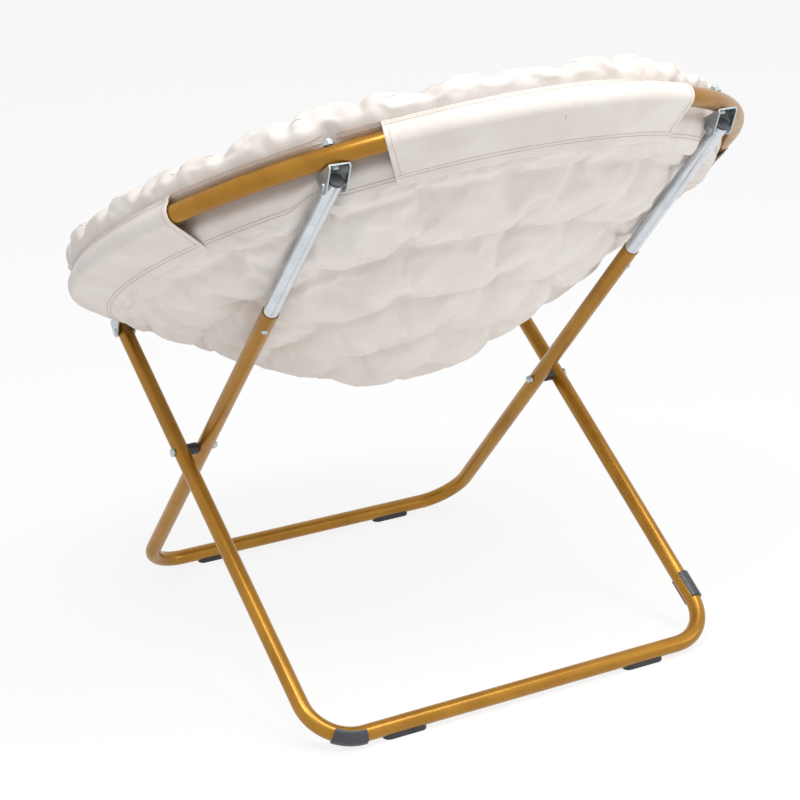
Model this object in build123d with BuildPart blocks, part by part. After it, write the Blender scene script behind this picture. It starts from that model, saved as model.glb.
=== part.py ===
from build123d import *
from math import acos, asin, atan2, cos, degrees, pi, radians, sin, sqrt
import os

# Folding saucer chair: two U-shaped leg frames cross on a pair of bolts, a round seat ring
# hangs on four clevis brackets, and the inner legs telescope so that the chair folds flat.
# Millimetres. +Z is up, the sitter faces -Y, +X is the sitter's left.

# ---- driving dimensions -------------------------------------------------------------------
# Leg frames
LEG_OD = 22.0            # leg tube
LEG_WALL = 1.0
BEND_R = 62.0            # centre-line radius of the bottom bends
OUTER_HALF = 304.0       # centre plane to the axis of an outer leg
SPACER_LENGTH = 12.0     # plastic bush between the crossing tubes
CROSS_RISE = 270.6       # crossing bolts above the axes of the floor runs
OUTER_FOOT = 475.0       # along an outer leg, crossing bolt to the floor run
INNER_FOOT = 374.0       # along an inner leg, crossing bolt to the floor run
FRONT_ARM = 222.0        # along an outer leg, crossing bolt to the front pivot
INNER_ARM = 343.0        # along an inner leg, crossing bolt to the open end of the tube

# Telescoping tubes
SLIDE_WALL = 1.0
SLIDE_GAP = 0.1          # running fit in the inner legs, on the radius
SLIDE_REST_GAP = 3.0     # end of the slide tube above the crossing bolt
STOP_BELOW = 30.0        # stop pin, below the open end of the inner leg
STOP_TURN = 20.0         # stop pin turned outward from straight back, degrees
STOP_R = 2.0
STOP_HEAD_R = 4.0
STOP_HEAD_RISE = 2.2
STOP_REACH = 2.6         # stop pin's end inside the leg's bore
STOP_GAP = 0.3           # pin to the sides and the ends of its slot

# Seat ring
RING_R = 445.5           # centre line
RING_OD = 25.0
RING_WALL = 1.2

# Clevis brackets under the ring
PIVOT_DROP = 30.0        # pivot below the ring's centre line, square to the ring
PIVOT_SET = -14.0        # pivot ahead of the bracket's bolt
EAR_INNER = 24.0         # gap between the ears
PLATE = 2.0              # bracket steel
EAR_TIP_R = 9.0
WEB_FRONT = -24.0        # ends of the web, from the bolt
WEB_BACK = 14.0
WEB_SIDE_DEPTH = 5.0     # straight part of the bracket's sides
PLATE_FILLET = 1.4

# Fasteners
PIN_R = 3.0              # pivot rivets, bracket bolts and crossing bolts
PIN_FIT = 0.08           # running fit of a hole on its pin, on the radius
TUBE_END = 8.5           # tube beyond a pivot
RIVET_HEAD_R = 5.0
RIVET_HEAD = 1.6
BOLT_HEAD_R = 5.5
BOLT_HEAD = 2.5
CROSS_HEAD_R = 6.0
CROSS_HEAD = 4.5
WASHER_R = 7.0
WASHER = 1.2
NUT_FLATS = 10.0
NUT = 5.0
NUT_DOME_R = 4.5
NUT_DOME = 2.7
HEAD_ROUND = 0.6         # rounding of a rivet's or bolt's head, as a share of its height
DOME_ROUND = 0.9         # the same on a domed head
SHAKE = 0.3              # small gap where a piece turns beside another
SPACER_R = 8.0

# Plastic end plugs, glides and clips
PLUG_STEM = 4.5
PLUG_CAP = 3.0
PLUG_ROUND = 2.4
GLIDE_HEIGHT = 4.0       # under the floor run
GLIDE_WRAP = 4.5         # height of the cheeks up the tube's sides
GLIDE_LENGTH = 62.0
GLIDE_WIDTH = 18.0
GLIDE_ROUND = 1.5
GLIDE_PEG_R = 3.0
GLIDE_PEG = 4.0          # peg inside the tube
OUTER_GLIDE_X = 184.0
INNER_GLIDE_X = 152.0
CLIP_LENGTH = 40.0
CLIP_WALL = 2.5
CLIP_GAP = 0.3
CLIP_MOUTH = 120.0       # opening of the C-shaped clips, degrees
CLIP_UP_LEG = 78.0       # right clip, from the corner of the outer frame up the leg
LEFT_CLIP_TURN = 35.0    # left clip's mouth leans back from straight up, degrees

# Seat: outside of the hanging dish as (depth below the ring's plane, distance in from the
# ring's centre line), at its rim, at the edge of its band, at the rows of tufts and at its bottom
DISH = (
    (0.0, 24.5),
    (42.0, 37.5),
    (62.0, 72.5),
    (107.0, 152.5),
    (150.0, 239.5),
    (180.0, 327.5),
    (196.0, 385.5),
)
DISH_SHIFT = 109.0       # the bottom hangs this far downhill of the ring's axis
PADS = (20, 15, 11)      # sewn pads in each row between two rows of tufts
PAD_LOBE = 11.0          # crown of a pad between its tufts
SEAM_LOBE = 1.5          # what is left of that crown at the sewn seams
SEAM_TUCK = 2.5          # each row starts this far inside the one above it
ROW_SWELL = 3.0          # swell of a row between its seams
CENTRE_SWELL = 12.0      # swell of the round pad at the bottom
PAD_THICK = 26.0         # filling under the woven cloth
BOWL_FLOOR_R = 100.0     # flat middle of the seat's inside
PLUSH_THICK = 8.0
PAD_TOP = 8.0            # pad's upper edge above the ring's plane
LEG_DENT = 3.0           # room that the dish leaves round the inner legs
RIM_INSET = 33.5         # padded roll on the upper edge, in from the ring's centre line
RIM_HALF_WIDTH = 41.0
RIM_HALF_HEIGHT = 30.0
RIM_CENTRE = 38.0        # above the ring's plane
CLOTH_GAP = 0.3          # cloth beside what it lies on
SLEEVE_THICK = 2.0       # doubled cloth round the ring
# Bare stretches of the ring: at the back in degrees round the ring, before and after the
# bracket's bolt; at the front beyond the axes of the inner and the outer legs
BACK_BARE = (26.0, 9.0)
FRONT_BARE = (16.0, 18.0)

# ---- worked-out places --------------------------------------------------------------------
INNER_HALF = OUTER_HALF - LEG_OD - SPACER_LENGTH
FLOOR_AXIS = GLIDE_HEIGHT + LEG_OD / 2
CROSS_Z = FLOOR_AXIS + CROSS_RISE
OUTER_LEAN = asin(CROSS_RISE / OUTER_FOOT)
INNER_LEAN = asin(CROSS_RISE / INNER_FOOT)

# The ring's length between its pivots, seen from the side, sets how far the slides reach.
FRONT_CHORD = sqrt(RING_R**2 - OUTER_HALF**2)
BACK_CHORD = sqrt(RING_R**2 - INNER_HALF**2)
PIVOT_SPAN = FRONT_CHORD + BACK_CHORD
OPEN_ANGLE = pi - OUTER_LEAN - INNER_LEAN
BACK_ARM = FRONT_ARM * cos(OPEN_ANGLE) + sqrt(PIVOT_SPAN**2 - (FRONT_ARM * sin(OPEN_ANGLE)) ** 2)
SLIDE_STROKE = FRONT_ARM + PIVOT_SPAN - BACK_ARM

OUTER_UP = Vector(0, -cos(OUTER_LEAN), sin(OUTER_LEAN))
INNER_UP = Vector(0, cos(INNER_LEAN), sin(INNER_LEAN))
between_pivots = INNER_UP * BACK_ARM - OUTER_UP * FRONT_ARM
RING_TILT = atan2(between_pivots.Z, between_pivots.Y)
RING_BACK = Vector(0, cos(RING_TILT), sin(RING_TILT))
RING_UP = Vector(0, -sin(RING_TILT), cos(RING_TILT))
cross_to_ring = OUTER_UP * FRONT_ARM + RING_BACK * (FRONT_CHORD - PIVOT_SET) + RING_UP * PIVOT_DROP

# The origin lies on the floor, straight under the ring's centre.
CROSS_Y = -cross_to_ring.Y
CROSS = Vector(0, CROSS_Y, CROSS_Z)
RING_CENTRE = CROSS + cross_to_ring
FRONT_PIVOT = CROSS + OUTER_UP * FRONT_ARM
BACK_PIVOT = CROSS + INNER_UP * BACK_ARM
OUTER_FLOOR_Y = CROSS_Y - OUTER_FOOT * OUTER_UP.Y
INNER_FLOOR_Y = CROSS_Y - INNER_FOOT * INNER_UP.Y

OUTER_PLANE = Plane(origin=CROSS, x_dir=(1, 0, 0), z_dir=Vector(1, 0, 0).cross(OUTER_UP))
INNER_PLANE = Plane(origin=CROSS, x_dir=(1, 0, 0), z_dir=Vector(1, 0, 0).cross(INNER_UP))
RING_PLANE = Plane(origin=RING_CENTRE, x_dir=(1, 0, 0), z_dir=RING_UP)

LEG_R = LEG_OD / 2
LEG_BORE_R = LEG_R - LEG_WALL
SLIDE_R = LEG_BORE_R - SLIDE_GAP
SLIDE_BORE_R = SLIDE_R - SLIDE_WALL
RING_TUBE_R = RING_OD / 2
EAR_OUTER = EAR_INNER + 2 * PLATE
WEB_UNDER = -RING_TUBE_R - PLATE
STOP_FROM_PIVOT = BACK_ARM - INNER_ARM + STOP_BELOW
SIDES = ((1, "left"), (-1, "right"))
REACH = 2 * OUTER_HALF   # longer than any through cut along X


def side_point(point, x):
    """A point of the side view, moved out to x."""
    return Vector(x, point.Y, point.Z)


def u_path(plane, half, foot, arm):
    """Centre line of a U frame: up one leg, along the floor, up the other leg."""
    with BuildLine(plane) as line:
        FilletPolyline((half, arm), (half, -foot), (-half, -foot), (-half, arm), radius=BEND_R)
    return line.line


def end_plane(path):
    """Plane square to a path at its start."""
    return Plane(origin=path @ 0, z_dir=path % 0)


def save(part, name):
    """Label a finished piece and write it to its own file."""
    part.label = name
    export_step(part, f"parts/{name}.step")


os.makedirs("parts", exist_ok=True)

# ---- outer leg frame ----------------------------------------------------------------------
outer_path = u_path(OUTER_PLANE, OUTER_HALF, OUTER_FOOT, FRONT_ARM + TUBE_END)
with BuildPart() as outer_leg_frame:
    with BuildSketch(end_plane(outer_path)):
        Circle(LEG_R)
        Circle(LEG_BORE_R, mode=Mode.SUBTRACT)
    sweep(path=outer_path)
    # front pivots run free on their rivets, the crossing bolts are held
    with BuildSketch(Plane.YZ):
        with Locations((FRONT_PIVOT.Y, FRONT_PIVOT.Z)):
            Circle(PIN_R + PIN_FIT)
        with Locations((CROSS_Y, CROSS_Z)):
            Circle(PIN_R)
    extrude(amount=REACH, both=True, mode=Mode.SUBTRACT)
    # peg holes of the glides
    with BuildSketch(Plane.XY):
        with Locations((OUTER_GLIDE_X, OUTER_FLOOR_Y), (-OUTER_GLIDE_X, OUTER_FLOOR_Y)):
            Circle(GLIDE_PEG_R)
    extrude(amount=FLOOR_AXIS, mode=Mode.SUBTRACT)
save(outer_leg_frame.part, "outer_leg_frame")

# ---- inner leg frame ----------------------------------------------------------------------
STOP_AT = CROSS + INNER_UP * (INNER_ARM - STOP_BELOW)
STOP_OUT = {
    side: Vector(side * sin(radians(STOP_TURN)), 0, 0)
    + Vector(0, sin(INNER_LEAN), -cos(INNER_LEAN)) * cos(radians(STOP_TURN))
    for side, _ in SIDES
}

inner_path = u_path(INNER_PLANE, INNER_HALF, INNER_FOOT, INNER_ARM)
with BuildPart() as inner_leg_frame:
    with BuildSketch(end_plane(inner_path)):
        Circle(LEG_R)
        Circle(LEG_BORE_R, mode=Mode.SUBTRACT)
    sweep(path=inner_path)
    # the inner legs turn on the crossing bolts
    with BuildSketch(Plane.YZ):
        with Locations((CROSS_Y, CROSS_Z)):
            Circle(PIN_R + PIN_FIT)
    extrude(amount=REACH, both=True, mode=Mode.SUBTRACT)
    with BuildSketch(Plane.XY):
        with Locations((INNER_GLIDE_X, INNER_FLOOR_Y), (-INNER_GLIDE_X, INNER_FLOOR_Y)):
            Circle(GLIDE_PEG_R)
    extrude(amount=FLOOR_AXIS, mode=Mode.SUBTRACT)
    # holes of the stop pins, through one wall
    for side, _ in SIDES:
        with BuildSketch(Plane(origin=side_point(STOP_AT, side * INNER_HALF), z_dir=STOP_OUT[side])):
            Circle(STOP_R)
        extrude(amount=LEG_OD, mode=Mode.SUBTRACT)
save(inner_leg_frame.part, "inner_leg_frame")

# ---- pieces at the crossing, the tube ends and the stops, left and right ---------------------
for side, side_name in SIDES:
    outer_x = side * OUTER_HALF
    inner_x = side * INNER_HALF
    gap_side = side * (OUTER_HALF - LEG_R)
    spacer_inner = INNER_HALF + LEG_R + SHAKE
    nut_face = INNER_HALF - LEG_R - SHAKE
    outward = Vector(side, 0, 0)

    with BuildPart() as crossing_bolt:
        with BuildSketch(Plane(origin=side_point(CROSS, side * (nut_face - NUT)), z_dir=outward)):
            Circle(PIN_R)
        extrude(amount=OUTER_HALF + LEG_R - nut_face + NUT)
        with BuildSketch(Plane(origin=side_point(CROSS, side * (OUTER_HALF + LEG_R)), z_dir=outward)):
            Circle(CROSS_HEAD_R)
        extrude(amount=CROSS_HEAD)
        fillet(crossing_bolt.faces().sort_by(Axis.X)[-1 if side > 0 else 0].edges(), CROSS_HEAD * HEAD_ROUND)
    save(crossing_bolt.part, f"crossing_bolt_{side_name}")

    with BuildPart() as crossing_nut:
        with BuildSketch(Plane(origin=side_point(CROSS, side * nut_face), z_dir=-outward)):
            RegularPolygon(NUT_FLATS / 2, 6, major_radius=False)
        extrude(amount=NUT)
        with BuildSketch(Plane(origin=side_point(CROSS, side * (nut_face - NUT)), z_dir=-outward)):
            Circle(NUT_DOME_R)
        extrude(amount=NUT_DOME)
        fillet(crossing_nut.faces().sort_by(Axis.X)[0 if side > 0 else -1].edges(), NUT_DOME * DOME_ROUND)
        with BuildSketch(Plane(origin=side_point(CROSS, side * nut_face), z_dir=-outward)):
            Circle(PIN_R)
        extrude(amount=NUT, mode=Mode.SUBTRACT)
    save(crossing_nut.part, f"crossing_nut_{side_name}")

    # the spacer's outer end is hollowed to sit on the outer leg
    with BuildPart() as crossing_spacer:
        with BuildSketch(Plane(origin=side_point(CROSS, side * spacer_inner), z_dir=outward)):
            Circle(SPACER_R)
        extrude(amount=OUTER_HALF - spacer_inner)
        with BuildSketch(Plane(origin=side_point(CROSS, outer_x), z_dir=OUTER_UP)):
            Circle(LEG_R)
        extrude(amount=LEG_OD, both=True, mode=Mode.SUBTRACT)
        with BuildSketch(Plane(origin=side_point(CROSS, inner_x), z_dir=outward)):
            Circle(PIN_R + PIN_FIT)
        extrude(amount=OUTER_HALF, mode=Mode.SUBTRACT)
    save(crossing_spacer.part, f"crossing_spacer_{side_name}")

    # plug in the top end of the outer leg
    leg_top = Plane(origin=side_point(FRONT_PIVOT + OUTER_UP * TUBE_END, outer_x), z_dir=OUTER_UP)
    with BuildPart() as leg_plug:
        with BuildSketch(leg_top):
            Circle(LEG_R)
        extrude(amount=PLUG_CAP)
        fillet(leg_plug.edges().group_by(Axis(leg_top.origin, OUTER_UP))[-1], PLUG_ROUND)
        with BuildSketch(leg_top):
            Circle(LEG_BORE_R)
        extrude(amount=-PLUG_STEM)
    save(leg_plug.part, f"outer_leg_plug_{side_name}")

    # slide tube, from beyond the back pivot down to the crossing bolt
    slide_top = side_point(BACK_PIVOT + INNER_UP * TUBE_END, inner_x)
    slide_length = BACK_ARM + TUBE_END - PIN_R - SLIDE_REST_GAP
    slot_length = SLIDE_STROKE + 2 * (STOP_R + STOP_GAP)
    slot_middle = BACK_PIVOT - INNER_UP * (STOP_FROM_PIVOT + SLIDE_STROKE / 2)
    with BuildPart() as slide_tube:
        with BuildSketch(Plane(origin=slide_top, z_dir=-INNER_UP)):
            Circle(SLIDE_R)
            Circle(SLIDE_BORE_R, mode=Mode.SUBTRACT)
        extrude(amount=slide_length)
        with BuildSketch(Plane.YZ):
            with Locations((BACK_PIVOT.Y, BACK_PIVOT.Z)):
                Circle(PIN_R)
        extrude(amount=REACH, both=True, mode=Mode.SUBTRACT)
        slot_plane = Plane(
            origin=side_point(slot_middle, inner_x), x_dir=INNER_UP, z_dir=STOP_OUT[side]
        )
        with BuildSketch(slot_plane):
            SlotOverall(slot_length, 2 * (STOP_R + STOP_GAP))
        extrude(amount=SLIDE_R * 2, mode=Mode.SUBTRACT)
    save(slide_tube.part, f"slide_tube_{side_name}")

    with BuildPart() as slide_plug:
        slide_end = Plane(origin=slide_top, z_dir=INNER_UP)
        with BuildSketch(slide_end):
            Circle(SLIDE_R)
        extrude(amount=PLUG_CAP)
        fillet(slide_plug.edges().group_by(Axis(slide_end.origin, INNER_UP))[-1], PLUG_ROUND)
        with BuildSketch(slide_end):
            Circle(SLIDE_BORE_R)
        extrude(amount=-PLUG_STEM)
    save(slide_plug.part, f"slide_plug_{side_name}")

    # stop pin: a round head on the leg, its shank through the wall and into the slide's slot
    with BuildPart() as stop_pin:
        with BuildSketch(Plane(origin=side_point(STOP_AT, inner_x), z_dir=STOP_OUT[side])):
            Circle(STOP_HEAD_R)
        extrude(amount=LEG_R + STOP_HEAD_RISE)
        fillet(
            stop_pin.edges().group_by(Axis(side_point(STOP_AT, inner_x), STOP_OUT[side]))[-1],
            STOP_HEAD_RISE * DOME_ROUND,
        )
        with BuildSketch(Plane(origin=side_point(STOP_AT, inner_x), z_dir=INNER_UP)):
            Circle(LEG_R)
        extrude(amount=LEG_OD, both=True, mode=Mode.SUBTRACT)
        shank_start = side_point(STOP_AT, inner_x) + STOP_OUT[side] * (LEG_BORE_R - STOP_REACH)
        with BuildSketch(Plane(origin=shank_start, z_dir=STOP_OUT[side])):
            Circle(STOP_R)
        extrude(amount=LEG_WALL + STOP_REACH + STOP_HEAD_RISE / 2)
    save(stop_pin.part, f"stop_pin_{side_name}")

    # back pivot: the shank stays in the slide tube, its two heads stay on the bracket's ears
    with BuildPart() as back_shank:
        with BuildSketch(Plane(origin=side_point(BACK_PIVOT, inner_x), z_dir=outward)):
            Circle(PIN_R)
        extrude(amount=EAR_INNER / 2 - SHAKE, both=True)
    save(back_shank.part, f"back_pivot_shank_{side_name}")

    with BuildPart() as back_heads:
        for way in (1, -1):
            ear_face = side_point(BACK_PIVOT, inner_x + way * EAR_INNER / 2)
            with BuildSketch(Plane(origin=ear_face, z_dir=(way, 0, 0))):
                Circle(PIN_R)
            extrude(amount=PLATE)
            head_face = side_point(BACK_PIVOT, inner_x + way * EAR_OUTER / 2)
            with BuildSketch(Plane(origin=head_face, z_dir=(way, 0, 0))):
                Circle(RIVET_HEAD_R)
            extrude(amount=RIVET_HEAD)
            fillet(
                back_heads.faces().sort_by(Axis.X)[-1 if way > 0 else 0].edges(),
                RIVET_HEAD * HEAD_ROUND,
            )
    save(back_heads.part, f"back_rivet_heads_{side_name}")

    # front pivot rivet, through both ears and the leg
    with BuildPart() as front_rivet:
        with BuildSketch(Plane(origin=side_point(FRONT_PIVOT, outer_x), z_dir=outward)):
            Circle(PIN_R)
        extrude(amount=EAR_OUTER / 2, both=True)
        for way in (1, -1):
            head_face = side_point(FRONT_PIVOT, outer_x + way * EAR_OUTER / 2)
            with BuildSketch(Plane(origin=head_face, z_dir=(way, 0, 0))):
                Circle(RIVET_HEAD_R)
            extrude(amount=RIVET_HEAD)
            fillet(
                front_rivet.faces().sort_by(Axis.X)[-1 if way > 0 else 0].edges(),
                RIVET_HEAD * HEAD_ROUND,
            )
    save(front_rivet.part, f"front_pivot_rivet_{side_name}")

# ---- glides under the floor runs --------------------------------------------------------------
for frame_name, glide_x, floor_y in (
    ("outer", OUTER_GLIDE_X, OUTER_FLOOR_Y),
    ("inner", INNER_GLIDE_X, INNER_FLOOR_Y),
):
    for side, side_name in SIDES:
        with BuildPart() as glide:
            with BuildSketch(Plane.XY):
                with Locations((side * glide_x, floor_y)):
                    SlotOverall(GLIDE_LENGTH, GLIDE_WIDTH)
            extrude(amount=GLIDE_HEIGHT + GLIDE_WRAP)
            fillet(glide.edges().group_by(Axis.Z)[0], GLIDE_ROUND)
            with BuildSketch(Plane(origin=(0, floor_y, FLOOR_AXIS), z_dir=(1, 0, 0))):
                Circle(LEG_R)
            extrude(amount=REACH, both=True, mode=Mode.SUBTRACT)
            with BuildSketch(Plane.XY.offset(GLIDE_HEIGHT / 2)):
                with Locations((side * glide_x, floor_y)):
                    Circle(GLIDE_PEG_R)
            extrude(amount=GLIDE_HEIGHT / 2 + LEG_WALL + GLIDE_PEG)
        save(glide.part, f"{frame_name}_glide_{side_name}")

# ---- snap clips on the outer frame ----------------------------------------------------------
CLIP_IN_R = LEG_R + CLIP_GAP
CLIP_OUT_R = CLIP_IN_R + CLIP_WALL


def clip_profile():
    """C-shaped section whose mouth opens along x."""
    mouth = radians(CLIP_MOUTH / 2)
    far = 2 * CLIP_OUT_R
    lip = (far * cos(mouth), far * sin(mouth))
    with BuildSketch() as profile:
        Circle(CLIP_OUT_R)
        Circle(CLIP_IN_R, mode=Mode.SUBTRACT)
        with BuildLine():
            Polyline((0, 0), lip, (lip[0], -lip[1]), close=True)
        make_face(mode=Mode.SUBTRACT)
    return profile.sketch


# the right clip is pushed up the straight leg, its mouth to the chair's middle
right_clip_middle = side_point(CROSS - OUTER_UP * (OUTER_FOOT - CLIP_UP_LEG), -OUTER_HALF)
with BuildPart() as leg_clip_right:
    with BuildSketch(Plane(origin=right_clip_middle, x_dir=(1, 0, 0), z_dir=OUTER_UP)):
        add(clip_profile())
    extrude(amount=CLIP_LENGTH / 2, both=True)
save(leg_clip_right.part, "leg_clip_right")

# the left clip sits low on the bend, its mouth upward
clip_sweep = degrees(CLIP_LENGTH / BEND_R)
with BuildLine(OUTER_PLANE) as clip_line:
    CenterArc((OUTER_HALF - BEND_R, BEND_R - OUTER_FOOT), BEND_R, -90, clip_sweep)
lean = radians(LEFT_CLIP_TURN)
clip_mouth = OUTER_UP * cos(lean) - OUTER_PLANE.z_dir * sin(lean)
with BuildPart() as leg_clip_left:
    with BuildSketch(Plane(origin=clip_line.line @ 0, x_dir=clip_mouth, z_dir=clip_line.line % 0)):
        add(clip_profile())
    sweep(path=clip_line.line)
save(leg_clip_left.part, "leg_clip_left")

# ---- seat ring -------------------------------------------------------------------------------
BRACKETS = (
    ("front", "left", OUTER_HALF, -FRONT_CHORD),
    ("front", "right", -OUTER_HALF, -FRONT_CHORD),
    ("back", "left", INNER_HALF, BACK_CHORD),
    ("back", "right", -INNER_HALF, BACK_CHORD),
)
with BuildPart() as ring_tube:
    with BuildSketch(Plane(origin=RING_CENTRE, x_dir=(1, 0, 0), z_dir=-RING_BACK)):
        with Locations((RING_R, 0)):
            Circle(RING_TUBE_R)
            Circle(RING_TUBE_R - RING_WALL, mode=Mode.SUBTRACT)
    revolve(axis=Axis(RING_CENTRE, RING_UP))
    with BuildSketch(RING_PLANE):
        with Locations(*[(x, back) for _, _, x, back in BRACKETS]):
            Circle(PIN_R)
    extrude(amount=RING_OD, both=True, mode=Mode.SUBTRACT)
save(ring_tube.part, "ring_tube")

# ---- brackets and their fasteners ------------------------------------------------------------
for end_name, side_name, x, back in BRACKETS:
    ring_point = RING_CENTRE + RING_BACK * back + Vector(x, 0, 0)
    ear_plane = Plane(origin=ring_point, x_dir=RING_BACK, z_dir=(1, 0, 0))
    bolt_plane = Plane(origin=ring_point, x_dir=(1, 0, 0), z_dir=RING_UP)

    with BuildPart() as bracket:
        with BuildSketch(ear_plane):
            with Locations(((WEB_FRONT + WEB_BACK) / 2, -RING_TUBE_R - WEB_SIDE_DEPTH / 2)):
                Rectangle(WEB_BACK - WEB_FRONT, WEB_SIDE_DEPTH)
            with Locations((PIVOT_SET, -PIVOT_DROP)):
                Circle(EAR_TIP_R)
            make_hull()
        extrude(amount=EAR_OUTER / 2, both=True)
        fillet(
            bracket.edges().filter_by(Axis((0, 0, 0), RING_BACK)).group_by(Axis(ring_point, RING_UP))[-1],
            PLATE_FILLET,
        )
        with BuildSketch(ear_plane):
            with Locations((PIVOT_SET, WEB_UNDER - PIVOT_DROP)):
                Rectangle(4 * PIVOT_DROP, 2 * PIVOT_DROP)
        extrude(amount=EAR_INNER / 2, both=True, mode=Mode.SUBTRACT)
        with BuildSketch(ear_plane):
            with Locations((PIVOT_SET, -PIVOT_DROP)):
                Circle(PIN_R)
        extrude(amount=EAR_OUTER, both=True, mode=Mode.SUBTRACT)
        with BuildSketch(bolt_plane):
            Circle(PIN_R)
        extrude(amount=-PIVOT_DROP, mode=Mode.SUBTRACT)
    save(bracket.part, f"{end_name}_bracket_{side_name}")

    with BuildPart() as bracket_bolt:
        with BuildSketch(bolt_plane.offset(WEB_UNDER - BOLT_HEAD)):
            Circle(BOLT_HEAD_R)
        extrude(amount=BOLT_HEAD)
        fillet(bracket_bolt.edges().group_by(Axis(ring_point, RING_UP))[0], BOLT_HEAD * HEAD_ROUND)
        with BuildSketch(bolt_plane.offset(WEB_UNDER)):
            Circle(PIN_R)
        extrude(amount=RING_TUBE_R + WASHER + NUT - WEB_UNDER)
    save(bracket_bolt.part, f"{end_name}_bracket_bolt_{side_name}")

    with BuildPart() as washer:
        with BuildSketch(bolt_plane.offset(RING_TUBE_R)):
            Circle(WASHER_R)
            Circle(PIN_R, mode=Mode.SUBTRACT)
        extrude(amount=WASHER)
    save(washer.part, f"{end_name}_washer_{side_name}")

    nut_plane = bolt_plane.offset(RING_TUBE_R + WASHER)
    with BuildPart() as cap_nut:
        with BuildSketch(nut_plane):
            RegularPolygon(NUT_FLATS / 2, 6, major_radius=False)
        extrude(amount=NUT)
        with BuildSketch(nut_plane.offset(NUT)):
            Circle(NUT_DOME_R)
        extrude(amount=NUT_DOME)
        fillet(cap_nut.edges().group_by(Axis(ring_point, RING_UP))[-1], NUT_DOME * DOME_ROUND)
        with BuildSketch(nut_plane):
            Circle(PIN_R)
        extrude(amount=NUT, mode=Mode.SUBTRACT)
    save(cap_nut.part, f"{end_name}_cap_nut_{side_name}")


# ---- hanging seat ------------------------------------------------------------------------------
OUTLINE = [(depth, RING_R - inset) for depth, inset in DISH]
BAND_DEPTH, BAND_R = OUTLINE[1]
DISH_DEPTH = OUTLINE[-1][0]
RIM_R = RING_R - RIM_INSET
SECTION_PLANE = Plane(origin=RING_CENTRE, x_dir=(1, 0, 0), z_dir=-RING_BACK)


def dish_plane(depth):
    """Plane across the dish, centred where the cloth hangs to at that depth."""
    share = max(depth - BAND_DEPTH, 0) / (DISH_DEPTH - BAND_DEPTH)
    return RING_PLANE.offset(-depth) * Location((0, -DISH_SHIFT * share, 0))


def dish_section(depth, radius):
    """Round section across the dish."""
    with BuildSketch(dish_plane(depth)) as section:
        Circle(radius)
    return section.sketch


def lobed_section(depth, radius, count, lobe, turn):
    """Section across a row of pads: arcs that crown by lobe between their tufts."""
    step = 2 * pi / count
    with BuildSketch(dish_plane(depth)) as section:
        with BuildLine():
            for k in range(count):
                start = turn + k * step
                ThreePointArc(
                    (radius * cos(start), radius * sin(start)),
                    ((radius + lobe) * cos(start + step / 2), (radius + lobe) * sin(start + step / 2)),
                    (radius * cos(start + step), radius * sin(start + step)),
                )
        make_face()
    return section.sketch


def hollow(inset):
    """Solid space inside the dish, inset within its outside, open at the top."""
    # the dish slopes at about 45 degrees, so the inset is shared between in and up
    lean = inset / sqrt(2)
    sections = [dish_section(depth - lean, radius - lean) for depth, radius in OUTLINE[:-1]]
    sections.append(dish_section(DISH_DEPTH - inset, BOWL_FLOOR_R - (inset - PAD_THICK)))
    with BuildPart() as space:
        loft(sections)
        with BuildSketch(RING_PLANE.offset(lean)):
            Circle(OUTLINE[0][1] - lean)
        extrude(amount=PAD_TOP)
    return space.part


with BuildPart() as seat_shell:
    # plain upper band, behind the sleeve
    band_sections = [dish_section(-PAD_TOP, OUTLINE[0][1])]
    band_sections += [dish_section(depth, radius) for depth, radius in OUTLINE[:3]]
    loft(band_sections, ruled=True)
    # rows of sewn pads, each row turned half a pad against the last
    for row, count in enumerate(PADS):
        top_depth, top_radius = OUTLINE[row + 2]
        low_depth, low_radius = OUTLINE[row + 3]
        turn = (row % 2) * pi / count
        middle_radius = (top_radius + low_radius) / 2 + ROW_SWELL
        loft(
            [
                lobed_section(top_depth, top_radius - SEAM_TUCK, count, SEAM_LOBE, turn),
                lobed_section((top_depth + low_depth) / 2, middle_radius, count, PAD_LOBE, turn),
                lobed_section(low_depth, low_radius, count, SEAM_LOBE, turn),
            ]
        )
    # round pad at the bottom
    (edge_depth, edge_radius), (low_depth, low_radius) = OUTLINE[-2], OUTLINE[-1]
    loft(
        [
            dish_section(edge_depth, edge_radius - SEAM_TUCK),
            dish_section((edge_depth + low_depth) / 2, (edge_radius + low_radius) / 2 + CENTRE_SWELL),
            dish_section(low_depth, low_radius),
        ]
    )
    add(hollow(PAD_THICK), mode=Mode.SUBTRACT)
    # the cushion gives way to the inner legs
    for side, _ in SIDES:
        with BuildSketch(Plane(origin=side_point(CROSS, side * INNER_HALF), z_dir=INNER_UP)):
            Circle(LEG_R + LEG_DENT)
        extrude(amount=BACK_ARM, mode=Mode.SUBTRACT)
save(seat_shell.part, "seat_shell")

with BuildPart() as plush_lining:
    add(hollow(PAD_THICK + CLOTH_GAP))
    add(hollow(PAD_THICK + PLUSH_THICK), mode=Mode.SUBTRACT)
    with BuildSketch(RING_PLANE.offset(PAD_TOP)):
        Circle(RING_R)
    extrude(amount=2 * PAD_THICK + PAD_TOP, mode=Mode.SUBTRACT)
save(plush_lining.part, "plush_lining")

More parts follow.
